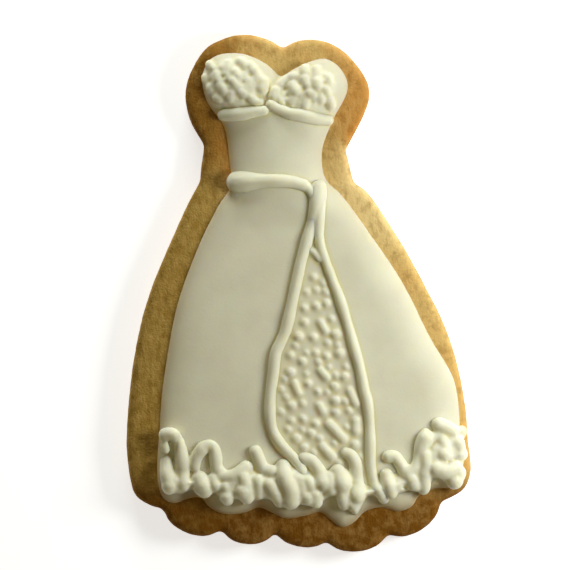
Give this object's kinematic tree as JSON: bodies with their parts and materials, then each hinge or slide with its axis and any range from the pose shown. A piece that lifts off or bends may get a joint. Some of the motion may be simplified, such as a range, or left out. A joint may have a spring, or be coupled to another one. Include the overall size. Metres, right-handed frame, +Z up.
{
  "type": "iced gown cookie",
  "caption": "Flat sugar cookie cut as a strapless wedding gown with a scalloped hem, flooded and piped with ivory royal icing.",
  "frame": {"origin": "bottom centre of the cookie's box, on its flat underside", "axes": "+Z up through the decorated side, +Y from the hem to the bodice, +X to the right as seen from above"},
  "size_m": [0.0766, 0.115, 0.0103],
  "materials": {
    "baked_biscuit": "matte",
    "ivory_icing": "satin"
  },
  "bodies": {
    "root": {"biscuit": "baked_biscuit", "flood_icing": "ivory_icing", "bust_band_left": "ivory_icing", "bust_band_right": "ivory_icing", "sash_left": "ivory_icing", "sash_right": "ivory_icing", "hem_ruffle": "ivory_icing"}
  },
  "joints": []
}
